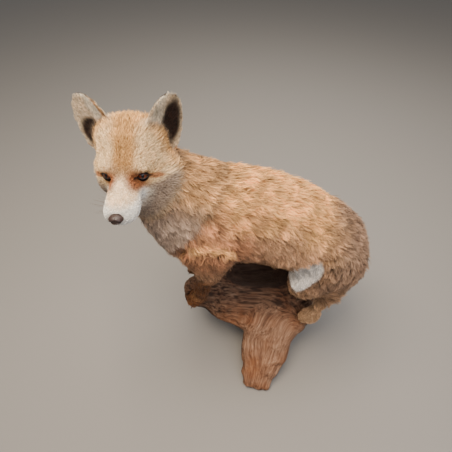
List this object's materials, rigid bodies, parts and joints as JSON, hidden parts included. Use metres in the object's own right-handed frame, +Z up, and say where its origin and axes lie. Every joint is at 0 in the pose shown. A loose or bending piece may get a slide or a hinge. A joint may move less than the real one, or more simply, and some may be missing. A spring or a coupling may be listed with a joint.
{
  "type": "taxidermy red fox",
  "caption": "Life-size taxidermy red fox standing on a forked driftwood branch with its feet gathered under it, head turned to its left, ears up.",
  "frame": {"origin": "middle of the model's bounding box in plan, at floor level under the driftwood", "axes": "+Z up; -Y is the way the trunk heads; +X is the fox's left side, the way its turned head and the driftwood's forked prong point"},
  "size_m": [0.3674, 0.572, 0.6921],
  "materials": {
    "fur": "matte, tousled tanned pelt",
    "eyes": "high gloss, painted glass eye",
    "nose_leather": "satin, pebbled",
    "claws": "satin horn",
    "driftwood": "matte, weathered, open grain"
  },
  "bodies": {
    "root": {"head": "fur", "neck": "fur", "trunk": "fur", "tail": "fur", "ear_left": "fur", "ear_right": "fur", "eye_left": "eyes", "eye_right": "eyes", "nose": "nose_leather", "fore_leg_left": "fur", "fore_leg_right": "fur", "fore_paw_left": "fur", "fore_paw_right": "fur", "hind_leg_left": "fur", "hind_leg_right": "fur", "hind_paw_left": "fur", "hind_paw_right": "fur", "driftwood": "driftwood", "claw_fore_left_1": "claws", "claw_fore_left_2": "claws", "claw_fore_left_3": "claws", "claw_fore_left_4": "claws", "claw_fore_right_1": "claws", "claw_fore_right_2": "claws", "claw_fore_right_3": "claws", "claw_fore_right_4": "claws", "claw_hind_left_1": "claws", "claw_hind_left_2": "claws", "claw_hind_left_3": "claws", "claw_hind_left_4": "claws", "claw_hind_right_1": "claws", "claw_hind_right_2": "claws", "claw_hind_right_3": "claws", "claw_hind_right_4": "claws"}
  },
  "joints": []
}
